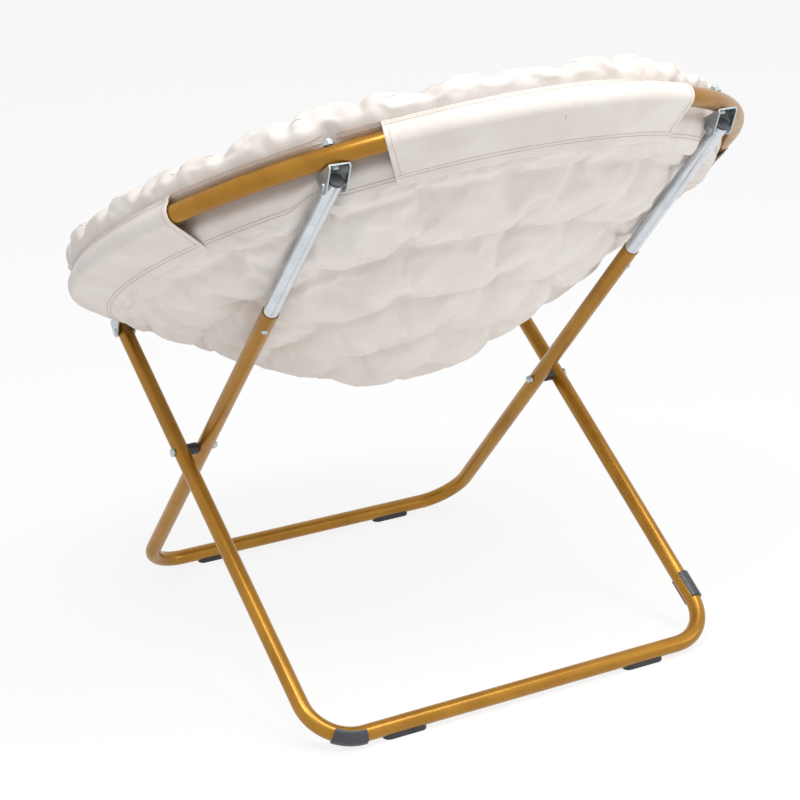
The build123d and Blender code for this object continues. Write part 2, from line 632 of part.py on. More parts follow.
with BuildPart() as rim_roll:
    with BuildSketch(SECTION_PLANE):
        with Locations((RIM_R, RIM_CENTRE)):
            Ellipse(RIM_HALF_WIDTH, RIM_HALF_HEIGHT)
        with Locations((RIM_R, PAD_TOP + CLOTH_GAP - RIM_HALF_HEIGHT)):
            Rectangle(2 * RIM_HALF_WIDTH, 2 * RIM_HALF_HEIGHT, mode=Mode.SUBTRACT)
    revolve(axis=Axis(RING_CENTRE, RING_UP))
    # the roll is dented by the washers and cap nuts under its outer edge
    with BuildSketch(RING_PLANE):
        with Locations(*[(x, back) for _, _, x, back in BRACKETS]):
            Circle(WASHER_R + SHAKE)
    extrude(amount=RING_TUBE_R + WASHER + NUT + NUT_DOME + SHAKE, mode=Mode.SUBTRACT)
save(rim_roll.part, "rim_roll")

# sleeve: round the ring's outside, then straight in to the dish's upper seam
WRAP_IN_R = RING_TUBE_R + CLOTH_GAP
WRAP_OUT_R = WRAP_IN_R + SLEEVE_THICK
hem = Vector(BAND_R + CLOTH_GAP + SLEEVE_THICK, -BAND_DEPTH)
to_hem = hem - Vector(RING_R, 0)
leave = atan2(to_hem.Y, to_hem.X) + acos(WRAP_OUT_R / to_hem.length)
inward = Vector(-cos(leave), -sin(leave))
tangent = Vector(RING_R, 0) - inward * WRAP_OUT_R
# its upper ply ends at the foot of the padded roll
roll_share = (RIM_CENTRE - WRAP_OUT_R) / RIM_HALF_HEIGHT
ply_end = RIM_R + RIM_HALF_WIDTH * sqrt(1 - roll_share**2) + CLOTH_GAP
with BuildPart() as seat_sleeve:
    with BuildSketch(SECTION_PLANE):
        with BuildLine():
            Polyline(tangent, hem, hem + inward * SLEEVE_THICK, tangent + inward * SLEEVE_THICK, close=True)
        make_face()
        with Locations(((RING_R + ply_end) / 2, WRAP_OUT_R - SLEEVE_THICK / 2)):
            Rectangle(RING_R - ply_end, SLEEVE_THICK)
        with Locations((RING_R, 0)):
            Circle(WRAP_OUT_R)
            Circle(WRAP_IN_R, mode=Mode.SUBTRACT)
    revolve(axis=Axis(RING_CENTRE, RING_UP))
    # bare stretches at the back and the front brackets
    bolt_turn = atan2(BACK_CHORD, INNER_HALF)
    back_ends = (bolt_turn - radians(BACK_BARE[0]), bolt_turn + radians(BACK_BARE[1]))
    front_near = INNER_HALF - FRONT_BARE[0]
    front_far = OUTER_HALF + FRONT_BARE[1]
    with BuildSketch(RING_PLANE):
        for side, _ in SIDES:
            with BuildLine():
                Polyline(
                    (0, 0),
                    *[(side * REACH * cos(turn), REACH * sin(turn)) for turn in back_ends],
                    close=True,
                )
            make_face()
            with Locations((side * (front_near + front_far) / 2, -RING_R / 2)):
                Rectangle(front_far - front_near, RING_R)
    extrude(amount=BAND_DEPTH + LEG_OD, both=True, mode=Mode.SUBTRACT)
save(seat_sleeve.part, "seat_sleeve")
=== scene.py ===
# %% [markdown]
# # A folding saucer chair
# A round steel ring carries a padded, quilted dish of woven cloth, lined with plush. Two crossed
# U-shaped leg frames hold the ring on four clevis brackets. The steel, zinc and plastic pieces come
# from the CAD model and keep their shapes. This lesson gives them their finishes, and makes the soft
# seat: the quilted underside, the plush bowl, the gathered rim, the sleeves round the ring, and
# their stitching.

# %% Load the fixed frame
from math import asin, atan2, ceil, cos, degrees, exp, hypot, log, pi, radians, sin, sqrt

import bmesh
import bpy
import numpy as np
from mathutils import Matrix, Vector, noise
from mathutils.bvhtree import BVHTree
from mathutils.kdtree import KDTree


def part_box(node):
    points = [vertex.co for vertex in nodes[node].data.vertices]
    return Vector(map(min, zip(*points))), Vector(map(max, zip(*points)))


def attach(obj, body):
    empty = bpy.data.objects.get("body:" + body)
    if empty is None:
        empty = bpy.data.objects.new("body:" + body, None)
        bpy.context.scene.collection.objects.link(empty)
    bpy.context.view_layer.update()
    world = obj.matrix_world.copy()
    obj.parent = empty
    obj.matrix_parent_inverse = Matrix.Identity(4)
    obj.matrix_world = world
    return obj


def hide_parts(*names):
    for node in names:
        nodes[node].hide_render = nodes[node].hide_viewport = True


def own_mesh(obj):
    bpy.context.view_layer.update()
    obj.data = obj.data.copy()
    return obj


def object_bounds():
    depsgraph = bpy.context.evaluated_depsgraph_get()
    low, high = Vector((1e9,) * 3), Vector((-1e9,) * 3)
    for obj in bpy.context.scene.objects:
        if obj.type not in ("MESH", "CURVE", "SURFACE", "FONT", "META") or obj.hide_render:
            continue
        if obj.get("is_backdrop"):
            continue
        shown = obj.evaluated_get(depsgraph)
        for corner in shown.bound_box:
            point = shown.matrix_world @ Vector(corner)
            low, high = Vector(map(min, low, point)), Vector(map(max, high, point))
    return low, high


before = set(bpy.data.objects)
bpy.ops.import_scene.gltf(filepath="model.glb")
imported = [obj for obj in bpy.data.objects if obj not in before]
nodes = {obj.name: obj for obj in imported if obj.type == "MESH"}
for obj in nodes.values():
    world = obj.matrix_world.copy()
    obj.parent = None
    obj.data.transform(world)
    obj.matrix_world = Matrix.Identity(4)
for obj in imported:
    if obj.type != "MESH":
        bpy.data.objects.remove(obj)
cad_low, cad_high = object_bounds()
print("CAD nodes:", len(nodes), "size in mm:", [round(v * 1000) for v in cad_high - cad_low])

# %% [markdown]
# ## Finishes
# A finish is a small tree of shader nodes. Every colour starts as an sRGB hex value, as a paint chart
# gives it, and one function turns it to the linear value that a shader works with. One more function
# adds a node, sets its sockets and links it, so that each finish reads as a short list of steps.

# %% Colour and node helpers
MM = 0.001


def linear(hex_code):
    """An sRGB hex colour as the linear colour of a shader socket."""
    parts = [int(hex_code[at:at + 2], 16) / 255 for at in (1, 3, 5)]
    return (*[c / 12.92 if c <= 0.04045 else ((c + 0.055) / 1.055) ** 2.4 for c in parts], 1.0)


def add(tree, kind, settings, links=None):
    """Add a node; settings go to sockets or properties, links come from other nodes' sockets."""
    made = tree.nodes.new("ShaderNode" + kind)
    for name, value in settings.items():
        if isinstance(name, int) or name in made.inputs:
            made.inputs[name].default_value = value
        else:
            setattr(made, name, value)
    for name, source in (links or {}).items():
        tree.links.new(source, made.inputs[name])
    return made


def begin(name, base, metallic, roughness, **more):
    """A material with its main shader set; returns the material, its tree and that shader."""
    material = bpy.data.materials.new(name)
    material.use_nodes = True
    material.diffuse_color = linear(base)
    tree = material.node_tree
    shader = tree.nodes["Principled BSDF"]
    shader.inputs["Base Color"].default_value = linear(base)
    shader.inputs["Metallic"].default_value = metallic
    shader.inputs["Roughness"].default_value = roughness
    for name, value in more.items():
        shader.inputs[name.replace("_", " ").title()].default_value = value
    return material, tree, shader


def mottle(tree, shader, source, size, low, high, detail=3.0):
    """Colour that drifts between two hex values over patches of a size in metres."""
    patches = add(tree, "TexNoise", {"Scale": 1 / size, "Detail": detail}, {"Vector": source})
    ramp = add(tree, "ValToRGB", {}, {"Fac": patches.outputs["Fac"]})
    ramp.color_ramp.elements[0].position, ramp.color_ramp.elements[1].position = 0.32, 0.68
    ramp.color_ramp.elements[0].color, ramp.color_ramp.elements[1].color = linear(low), linear(high)
    tree.links.new(ramp.outputs["Color"], shader.inputs["Base Color"])
    return ramp


def uneven_gloss(tree, shader, source, size, low, high):
    """Roughness that varies between two values over patches of a size in metres."""
    patches = add(tree, "TexNoise", {"Scale": 1 / size, "Detail": 4.0}, {"Vector": source})
    spread = add(tree, "MapRange", {"To Min": low, "To Max": high}, {"Value": patches.outputs["Fac"]})
    tree.links.new(spread.outputs["Result"], shader.inputs["Roughness"])


def relief(tree, shader, height, distance, strength):
    """Surface relief from a height socket, distance in metres."""
    bump = add(tree, "Bump", {"Distance": distance, "Strength": strength}, {"Height": height})
    tree.links.new(bump.outputs["Normal"], shader.inputs["Normal"])
    return bump


# %% [markdown]
# ### Gold powder coat
# The legs and the ring are steel tube, powder-coated: charged gold powder is baked to one smooth
# skin. Its metal flakes give a satin shine, and melting leaves a faint orange peel, about 3 mm from
# crest to crest, that ripples the long highlights.

# %% Powder coat on steel tube
gold_coat, tree, shader = begin("gold_powder_coat_on_steel", "#A5741B", 0.62, 0.28, coat_weight=0.15,
                                coat_roughness=0.15)
spot = add(tree, "TexCoord", {}).outputs["Object"]
mottle(tree, shader, spot, 55 * MM, "#9C6C17", "#AC7A20")
uneven_gloss(tree, shader, spot, 12 * MM, 0.25, 0.35)
peel = add(tree, "TexNoise", {"Scale": 1 / (3 * MM), "Detail": 1.0}, {"Vector": spot})
relief(tree, shader, peel.outputs["Fac"], 0.05 * MM, 0.35)

# %% [markdown]
# ### Bright zinc, chrome and steel fasteners
# The slide tubes are polished and chromed, so they mirror the room with only faint drawing marks.
# The brackets are bent from strip and zinc plated: duller, a little blue, and patchy at the scale
# of the plating's grain, about 5 mm here.

# %% Chromed tube
chrome, tree, shader = begin("chromed_steel_tube", "#D0D7DF", 1.0, 0.12)
spot = add(tree, "TexCoord", {}).outputs["Object"]
TUBE_LEAN = -43.7  # degrees; turns the marks along the leaning slide tubes
drawn = add(tree, "Mapping", {"Rotation": (radians(TUBE_LEAN), 0, 0), "Scale": (1, 0.04, 1)},
            {"Vector": spot})
uneven_gloss(tree, shader, drawn.outputs["Vector"], 2.5 * MM, 0.07, 0.17)
mottle(tree, shader, spot, 30 * MM, "#C8D0D8", "#D9DEE3")

# %% Zinc plate
zinc, tree, shader = begin("bright_zinc_plate", "#BEC7CD", 1.0, 0.32)
spot = add(tree, "TexCoord", {}).outputs["Object"]
mottle(tree, shader, spot, 9 * MM, "#B3BFC8", "#C9CDCB")
uneven_gloss(tree, shader, spot, 5 * MM, 0.22, 0.42)
grain = add(tree, "TexNoise", {"Scale": 1 / (1.2 * MM), "Detail": 2.0}, {"Vector": spot})
relief(tree, shader, grain.outputs["Fac"], 0.03 * MM, 0.4)

# %% [markdown]
# ### Moulded plastics
# The glides, bushes and end plugs are black polypropylene, and the snap clips a slate-grey ABS. The
# mould's spark-eroded texture, under a millimetre, breaks up their shine.


# %% Plastics
def moulded(name, base, low, high, roughness):
    """A moulded plastic with a fine eroded texture."""
    material, tree, shader = begin(name, base, 0.0, roughness)
    spot = add(tree, "TexCoord", {}).outputs["Object"]
    mottle(tree, shader, spot, 20 * MM, low, high)
    pits = add(tree, "TexNoise", {"Scale": 1 / (0.8 * MM), "Detail": 2.0}, {"Vector": spot})
    relief(tree, shader, pits.outputs["Fac"], 0.06 * MM, 0.5)
    return material


black_plastic = moulded("black_polypropylene", "#2C2C30", "#29292C", "#333337", 0.46)
plug_plastic = moulded("dark_grey_polyethylene", "#47484D", "#434449", "#4F5055", 0.5)
clip_plastic = moulded("slate_abs", "#3A3C44", "#363840", "#42444D", 0.4)

# %% [markdown]
# ### Dressing the CAD nodes
# A CAD node keeps its mesh. Only its material slot is filled, by the kind of piece that its name
# begins with.

# %% Give each CAD node its finish
DRESS = (
    (gold_coat, ("outer_leg_frame", "inner_leg_frame", "ring_tube")),
    (chrome, ("slide_tube",)),
    (zinc, ("front_", "back_", "crossing_bolt", "crossing_nut", "stop_pin")),
    (black_plastic, ("outer_glide", "inner_glide", "crossing_spacer")),
    (plug_plastic, ("slide_plug", "outer_leg_plug")),
    (clip_plastic, ("leg_clip",)),
)
for finish, starts in DRESS:
    dressed = [piece for name, piece in nodes.items() if name.startswith(starts)]
    for piece in dressed:
        piece.data.materials.clear()
        piece.data.materials.append(finish)
    print(finish.name, "on", len(dressed), "nodes")

# %% [markdown]
# ### Woven cloth, plush and thread
# The cover is a plain-woven polyester canvas. Its threads are about half a millimetre apart, too fine
# to show here, so the weave is drawn at 1.5 mm and kept faint. The pattern reads the piece's own
# "cloth" UV map, which holds the flat cloth in metres, so it follows the cloth over every fold. The
# plush is a short sheared pile, seen as soft clumps of about 5 mm, and its fibre tips catch light
# from the side: that is the sheen.

# %% Woven cloth
THREADS = 1.5 * MM
WAVE_BAND = 0.314  # width of one band of a wave texture whose scale is 1
WAVE_SCALE = 1 / THREADS / 2 * WAVE_BAND
canvas, tree, shader = begin("plain_woven_polyester", "#E5DED8", 0.0, 0.88, sheen_weight=0.22,
                             sheen_roughness=0.45)
shader.inputs["Specular IOR Level"].default_value = 0.25
flat = add(tree, "UVMap", {"uv_map": "cloth"}).outputs["UV"]
mottle(tree, shader, flat, 70 * MM, "#E0D8D1", "#EAE4DF", detail=5.0)
warp, weft = [add(tree, "TexWave", {"Scale": WAVE_SCALE, "bands_direction": way, "Distortion": 0.4},
                  {"Vector": flat}) for way in "XY"]
over = add(tree, "TexChecker", {"Scale": 1 / THREADS}, {"Vector": flat})
thread_top = add(tree, "Mix", {"data_type": "FLOAT"},
                 {0: over.outputs["Fac"], 2: warp.outputs["Fac"], 3: weft.outputs["Fac"]})
weave = relief(tree, shader, thread_top.outputs[0], 0.18 * MM, 0.35)
wrinkles = add(tree, "TexNoise", {"Scale": 1 / (14 * MM), "Detail": 5.0, "Roughness": 0.6},
               {"Vector": flat})
soft = add(tree, "Bump", {"Distance": 1.6 * MM, "Strength": 0.35}, {"Height": wrinkles.outputs["Fac"]})
tree.links.new(soft.outputs["Normal"], weave.inputs["Normal"])

# %% Plush
plush, tree, shader = begin("short_pile_plush", "#EAE0D7", 0.0, 0.95, sheen_weight=0.6,
                            sheen_roughness=0.35)
shader.inputs["Specular IOR Level"].default_value = 0.15
flat = add(tree, "UVMap", {"uv_map": "cloth"}).outputs["UV"]
mottle(tree, shader, flat, 6 * MM, "#DBCFC4", "#F0E8E0", detail=6.0)
clumps = add(tree, "TexVoronoi", {"Scale": 1 / (5 * MM), "feature": "SMOOTH_F1", "Smoothness": 0.6,
                                  "Randomness": 1.0}, {"Vector": flat})
pile = add(tree, "TexNoise", {"Scale": 1 / (2 * MM), "Detail": 4.0, "Roughness": 0.7}, {"Vector": flat})
fibre = relief(tree, shader, pile.outputs["Fac"], 1.2 * MM, 0.7)
tufty = add(tree, "Bump", {"Distance": 2.5 * MM, "Strength": 0.8, "invert": True},
            {"Height": clumps.outputs["Distance"]})
tree.links.new(tufty.outputs["Normal"], fibre.inputs["Normal"])

# %% Thread, with painted seam shade
# The thread is partly its own light tan and partly painted shade: its colours are darker than the cloth
# to stand for the shadow where each stitch pulls the cloth in.
thread, tree, shader = begin("spun_polyester_thread", "#D3C0B1", 0.0, 0.8, sheen_weight=0.2)
spot = add(tree, "TexCoord", {}).outputs["Object"]
mottle(tree, shader, spot, 8 * MM, "#CBB7A8", "#D9C8BB")

# %% [markdown]
# ## The seat's own frame
# The ring leans back by 27.5 degrees, so the seat is easiest to model lying level and then turned
# into place: x across, y towards the back of the ring, z up from the ring's plane. The ring's CAD box
# gives all that is needed. A torus reaches its centre-line radius plus the tube's radius sideways,
# and its height when leaned gives the angle.

# %% Work out the seat's frame from the ring
TUBE_R = 12.5 * MM
ring_low, ring_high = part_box("ring_tube")
RING_R = ring_high.x - TUBE_R
ring_middle = (ring_low + ring_high) / 2
tilt = asin(((ring_high - ring_low).z / 2 - TUBE_R) / RING_R)
SEAT = Matrix.Translation(ring_middle) @ Matrix.Rotation(tilt, 4, "X")
to_seat = SEAT.inverted()
print("ring radius mm", round(RING_R / MM, 2), "lean", round(degrees(tilt), 2))


def ring_point(radius, turn, height):
    """A point of the seat's frame: radius from the middle, turn round it, height above the ring."""
    return Vector((radius * cos(turn), radius * sin(turn), height))


# %% [markdown]
# ### Finishing a soft piece
# Each soft piece is made in the seat's frame as a bmesh. This function turns it into an object whose
# place is in its mesh, smooths its faces, and ties it to the seat ring's body.


# %% Turn a bmesh into a piece of the seat
def seat_piece(bm, name, finish, replaced=(), levels=1):
    """Make the bmesh a piece that rides on the seat ring."""
    mesh = bpy.data.meshes.new(name)
    bm.to_mesh(mesh)
    bm.free()
    mesh.transform(SEAT)
    mesh.materials.append(finish)
    mesh.shade_smooth()
    piece = bpy.data.objects.new(name, mesh)
    bpy.context.scene.collection.objects.link(piece)
    if levels:
        rounder = piece.modifiers.new("rounder", "SUBSURF")
        rounder.levels = rounder.render_levels = levels
    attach(piece, "seat_ring")
    if replaced:
        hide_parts(*replaced)
    print(name, "faces before smoothing:", len(mesh.polygons))
    return piece


# %% [markdown]
# ## The dish
# The seat hangs from the ring as a soft dish. Its outline is a short table, radius from the ring's
# axis and depth below the ring's plane, taken at the rim, the sewn band and the rows of tufts. The
# outline is smoothed and measured along the cloth, so that "run" is the way along the cloth from the
# bottom of the dish. The dish sags: deep places also lie further downhill.

# %% Outline of the dish
OUTLINE = np.array([(0, 196), (60, 194), (118, 180), (206, 150), (293, 107), (373, 62), (408, 42),
                    (421, 0), (421, -8)]) * MM
SAG = 109 * MM
SAG_FROM = 42 * MM
SAG_OVER = 154 * MM
run_at = np.concatenate(([0], np.cumsum(np.hypot(*np.diff(OUTLINE, axis=0).T))))
RUN = run_at[-1]
ticks = np.linspace(0, RUN, 300)
outline = np.column_stack([np.interp(ticks, run_at, OUTLINE[:, k]) for k in (0, 1)])
for _ in range(70):
    outline[1:-1] = (outline[:-2] + 2 * outline[1:-1] + outline[2:]) / 4
slope = np.gradient(outline, axis=0)
slope /= np.hypot(*slope.T)[:, None]
print("cloth from the middle to the rim, mm:", round(RUN / MM))


def dish(run, turn, inset=0.0):
    """Point of the dish at a run along the cloth, inset towards the sitter."""
    radius, depth = (np.interp(run, ticks, outline[:, k]) for k in (0, 1))
    along_r, along_d = (np.interp(run, ticks, slope[:, k]) for k in (0, 1))
    sag = SAG * max(depth - SAG_FROM, 0) / SAG_OVER
    point = ring_point(radius + along_d * inset, turn, -(depth - along_r * inset))
    return point - Vector((0, sag, 0))


# %% [markdown]
# ### Tufts
# The padding is held by tufts: single ties sewn through both cloths. They lie in rows round the
# dish, each row's ties between those of the next, so the cloth puffs into lozenges. The ties that
# the photograph shows are a little uneven, as hand-guided sewing is, and so are these.

# %% Places of the tufts
ROWS = (
    (373 * MM, (9, 27, 47, 66, 83, 99, 120, 139, 156, 174, 193, 211, 229, 247, 265, 283, 301, 319, 336,
                353)),
    (293 * MM, (18, 42, 63, 91, 112, 138, 161, 186, 210, 234, 258, 282, 306, 330, 354)),
    (206 * MM, (1, 31, 61, 99, 131, 163, 197, 229, 261, 295, 328)),
    (118 * MM, (24, 86, 146, 205, 264, 325)),
)
ties = [(0.0, 0.0)]
row_runs = []
for radius, turns in ROWS:
    row_run = float(np.interp(radius, outline[:, 0], ticks))
    row_runs.append(row_run)
    ties += [(row_run, radians(turn)) for turn in turns]
tie_tree = KDTree(len(ties))
for index, (run, turn) in enumerate(ties):
    tie_tree.insert((run * cos(turn), run * sin(turn), 0), index)
tie_tree.balance()
print("tufts:", len(ties))

# %% [markdown]
# ### Quilted cloth
# A square grid is pulled onto the round dish. A square maps to a disc with no pole in the middle, so
# the cloth has even faces everywhere. Its flat size goes into the "cloth" UV map first. Each point
# then stands off the dish: full between the tufts and drawn in at them.

# %% Lay a grid of cloth on the dish
PINCH = 12 * MM
PUFF_REACH = 32 * MM
ROW_PINCH = 9 * MM


def ease(value, low, high):
    """0 below low, 1 above high, smooth between."""
    share = min(max((value - low) / (high - low), 0), 1)
    return share * share * (3 - 2 * share)


def off_ties(run, turn):
    """Distance on the flat cloth to the nearest tuft."""
    return tie_tree.find((run * cos(turn), run * sin(turn), 0))[2]


def off_rows(run):
    """Distance along the cloth to the nearest row of tufts."""
    return min(abs(run - row_run) for row_run in row_runs)


def rim_thin(run):
    """How much thinner the pads are where they end under the roll."""
    return 7 * MM * ease(run, RUN - 80 * MM, RUN - 20 * MM)


def lay_cloth(bm, segments, inset_at):
    """Add a grid laid over the dish at an inset. Returns its vertices and each one's run and turn."""
    uv = bm.loops.layers.uv.get("cloth") or bm.loops.layers.uv.new("cloth")
    laid = bmesh.ops.create_grid(bm, x_segments=segments, y_segments=segments, size=1)["verts"]
    flat, ways = {}, []
    for vert in laid:
        x, y = vert.co.x, vert.co.y
        across, back = x * sqrt(1 - y * y / 2), y * sqrt(1 - x * x / 2)
        flat[vert] = (across * RUN, back * RUN)
        run, turn = min(hypot(across, back), 1) * RUN, atan2(back, across)
        ways.append((run, turn))
        vert.co = dish(run, turn, inset_at(run, turn))
    for face in {face for vert in laid for face in vert.link_faces}:
        for loop in face.loops:
            loop[uv].uv = flat[loop.vert]
    return laid, ways


# %% [markdown]
# ### Room for the legs
# The inner legs and their slide tubes pass close under the seat, and the padding gives way to them.
# A tube's box gives its middle line: the box of a leaning tube is longer than the line by the
# tube's radius at both ends, shared out by the lean. Cloth that is too near is pushed in.

# %% Channels for the tubes
TUBE_ROOM = 13.5 * MM
CHANNEL_ROUND = 16 * MM
CHANNEL_LIP = 2.5 * MM
CHANNEL_REACH = 60 * MM
BELOW_TUBE, ABOVE_TUBE = 40 * MM, 12 * MM
tube_lines = []
for side in ("left", "right"):
    low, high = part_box("slide_tube_" + side)
    way = Vector((0, high.y - low.y, high.z - low.z)).normalized()
    for _ in range(5):
        shrink = Vector((0, way.z, way.y)) * (high.x - low.x) / 2
        start, end = low + shrink, high - shrink
        start.x = end.x = (low.x + high.x) / 2
        way = (end - start).normalized()
    tube_lines.append((start, way, (end - start).length))
    print("slide tube", side, "line mm:", [round(v / MM) for v in (*start, *end)])


def make_room(piece, ways):
    """Push a pad's skin in where a tube passes."""
    for vert, (run, turn) in zip(piece.data.vertices, ways):
        for start, way, length in tube_lines:
            gap = vert.co - start
            along = gap.dot(way)
            off = gap - way * along
            if off.length > CHANNEL_REACH or not -BELOW_TUBE < along < length + ABOVE_TUBE:
                continue
            inward = (SEAT.to_3x3() @ (dish(run, turn, MM) - dish(run, turn))).normalized()
            inside = off.dot(inward)
            aside = (off - inward * inside).length
            short = TUBE_ROOM - aside ** 2 / (2 * CHANNEL_ROUND) - inside
            vert.co += inward * CHANNEL_LIP * log(1 + exp(short / CHANNEL_LIP))


# %% [markdown]
# ### Puffing with a cloth simulation
# Real folds come from too much cloth held at too few places, so the cloth is simulated: pinned at
# the tufts and the edge, grown a little, and blown up by a soft pressure. No point may move more than
# a set cap. The settled mesh is then kept and the simulation thrown away.


# %% Simulate and keep the folds
def puff(piece, pins, pressure, grow, gravity=0.0, mass=0.2, frames=24, cap=15 * MM):
    """Blow the piece's cloth up between its pins, and keep the result."""
    group = piece.vertex_groups.new(name="pins")
    for index, weight in pins.items():
        group.add([index], weight, "REPLACE")
    finishers = [(m.name, m.levels) for m in piece.modifiers]
    piece.modifiers.clear()
    cloth = piece.modifiers.new("puff", "CLOTH")
    values = cloth.settings
    values.quality = 6
    values.mass = mass
    values.air_damping = 2.0
    values.tension_stiffness = 12
    values.compression_stiffness = 8
    values.shear_stiffness = 4
    values.bending_stiffness = 0.04
    values.tension_damping = values.compression_damping = values.shear_damping = 8
    values.bending_damping = 0.6
    values.vertex_group_mass = "pins"
    values.pin_stiffness = 1
    values.shrink_min = -grow
    values.use_pressure = True
    values.uniform_pressure_force = pressure
    values.effector_weights.gravity = gravity
    cloth.collision_settings.use_collision = False
    cloth.point_cache.frame_start, cloth.point_cache.frame_end = 1, frames + 1
    for step in range(1, frames + 2):
        bpy.context.scene.frame_set(step)
    graph = bpy.context.evaluated_depsgraph_get()
    settled = bpy.data.meshes.new_from_object(piece.evaluated_get(graph), preserve_all_data_layers=True,
                                              depsgraph=graph)
    moves = []
    for before, after in zip(piece.data.vertices, settled.vertices):
        step = after.co - before.co
        moves.append(step.length)
        if step.length > cap:
            after.co = before.co + step * (cap / step.length)
    piece.modifiers.clear()
    piece.data = settled
    piece.vertex_groups.clear()
    for name, levels in finishers:
        rounder = piece.modifiers.new(name, "SUBSURF")
        rounder.levels = rounder.render_levels = levels
    bpy.context.scene.frame_set(1)
    print(piece.name, "moved by up to mm:", round(max(moves) / MM, 1))


# %% [markdown]
# ### Closing the back of a pad
# The puffed skin is only the side that shows. A coarse second skin, on the side that is sewn to its
# neighbour, and a strip that joins the two edges make the pad a closed body.


# %% Close a pad
def close_back(piece, segments, inset):
    """Add the hidden side of a pad and join the two skins at the rim."""
    bm = bmesh.new()
    bm.from_mesh(piece.data)
    bm.transform(to_seat)
    front_edge = [edge for edge in bm.edges if edge.is_boundary]
    laid, _ = lay_cloth(bm, segments, lambda run, turn: inset - rim_thin(run))
    back_edge = [edge for edge in {e for v in laid for e in v.link_edges} if edge.is_boundary]
    bmesh.ops.bridge_loops(bm, edges=front_edge + back_edge)
    bmesh.ops.recalc_face_normals(bm, faces=bm.faces)
    bm.transform(SEAT)
    for face in bm.faces:
        face.smooth = True
    bm.to_mesh(piece.data)
    open_edges = sum(edge.is_boundary for edge in bm.edges)
    bm.free()
    print(piece.name, "closed, open edges:", open_edges, "faces:", len(piece.data.polygons))


# %% [markdown]
# ## The quilted underside
# From behind, this is most of the chair: pads of woven cloth about 110 mm across, full of loose
# filling, that droop a little over each row of tufts. The whole skin is drawn in a little from the
# dish's outline. The band above the first row is smooth, because the sleeves are sewn to it, so it
# stays pinned. It swells a little behind the sleeves.

# %% Make the quilted underside
CROWN = 4 * MM
PULL = 9 * MM
ROW_PULL = 3 * MM
BAND_RUN = float(np.interp(-47 * MM, -outline[:, 1], ticks))
BAND_SWELL = 2.5 * MM
MID_BAND = float(np.interp(-18 * MM, -outline[:, 1], ticks))
MID_SWELL = 6 * MM
MID_WIDE = 12 * MM
DRAWN_RUNS = (0, *row_runs[::-1], BAND_RUN - 10 * MM, BAND_RUN)
DRAWN_IN = np.array((6, 9, 13, 14, 12, 9, 0)) * MM
TIE_HOLD = 7.5 * MM


def underside_inset(run, turn):
    """Inset of the woven skin: less where it stands out."""
    near = off_ties(run, turn)
    height = CROWN * (1 - exp(-(near / PUFF_REACH) ** 2)) - PULL * exp(-(near / PINCH) ** 2)
    height -= ROW_PULL * exp(-(off_rows(run) / ROW_PINCH) ** 2)
    drawn = float(np.interp(run, DRAWN_RUNS, DRAWN_IN)) * (1 + 0.5 * max(sin(turn), 0))
    free = 1 - ease(run, BAND_RUN - 10 * MM, BAND_RUN)
    swell = BAND_SWELL * ease(run, BAND_RUN - 20 * MM, BAND_RUN)
    swell *= 1 - ease(run, RUN - 35 * MM, RUN - 10 * MM)
    swell += MID_SWELL * exp(-((run - MID_BAND) / MID_WIDE) ** 2)
    return free * (drawn - height) - swell


bm = bmesh.new()
_, ways = lay_cloth(bm, 150, underside_inset)
bmesh.ops.reverse_faces(bm, faces=bm.faces)
underside = seat_piece(bm, "quilted_underside", canvas, ("seat_shell",))
make_room(underside, ways)
pins = {}
for index, (run, turn) in enumerate(ways):
    if off_ties(run, turn) < TIE_HOLD or run > BAND_RUN + 4 * MM:
        pins[index] = 1.0
    elif off_rows(run) < 4 * MM:
        pins[index] = 0.5
puff(underside, pins, pressure=2.5, grow=0.11, gravity=0.18, mass=0.12)
make_room(underside, ways)
close_back(underside, 44, 32 * MM)

# %% [markdown]
# ## The plush bowl
# The side the sitter sees is plush, tufted at the same places. It is a thinner pad that lies in the
# woven one, with deep soft dimples.

# %% Make the plush bowl
BOWL_INSET = 38 * MM
BOWL_CROWN = 7 * MM
BOWL_PULL = 1.5 * MM


def bowl_inset(run, turn):
    """Inset of the plush skin."""
    near = off_ties(run, turn)
    dimple = BOWL_CROWN * (1 - exp(-(near / PUFF_REACH) ** 2)) - BOWL_PULL * exp(-(near / PINCH) ** 2)
    return BOWL_INSET - rim_thin(run) + dimple


bm = bmesh.new()
_, ways = lay_cloth(bm, 104, bowl_inset)
bowl = seat_piece(bm, "plush_bowl", plush, ("plush_lining",))
pins = {}
for index, (run, turn) in enumerate(ways):
    if off_ties(run, turn) < TIE_HOLD or run > RUN - 30 * MM:
        pins[index] = 1.0
puff(bowl, pins, pressure=2.5, grow=0.07)
close_back(bowl, 44, 35 * MM)

# %% [markdown]
# ## The rim roll
# A padded roll lies on the ring, gathered by its stitching into puckers. Outside it is the woven
# cloth, inside the plush comes up over it. Each is made as a closed roll: a circle for its section,
# spun round the ring's axis, then shaped by moving its points. Tables give the crest's height, how far
# the roll is drawn inward and where the tube is bare, by the degrees round the ring. Two more give the
# foot's shape under a sleeve and on bare tube, by the degrees round the section.


# %% Spin a roll round the ring
def spin_roll(centre, half_width, half_height, around, steps):
    """A closed roll, its section an ellipse round centre = (radius, height)."""
    bm = bmesh.new()
    section = bmesh.ops.create_circle(bm, segments=around, radius=1)["verts"]
    stand = Matrix.Rotation(radians(90), 4, "X")
    size = Matrix.Diagonal((half_width, 1, half_height, 1))
    place = Matrix.Translation((centre[0], 0, centre[1]))
    bmesh.ops.transform(bm, matrix=place @ size @ stand, verts=section)
    bmesh.ops.spin(bm, geom=bm.verts[:] + bm.edges[:], cent=(0, 0, 0), axis=(0, 0, 1), dvec=(0, 0, 0),
                   angle=2 * pi, steps=steps, use_merge=True)
    bmesh.ops.recalc_face_normals(bm, faces=bm.faces)
    return bm


def near_turn(turn, reference):
    """The turn, in the same lap as the reference."""
    return reference + (turn - reference + pi) % (2 * pi) - pi


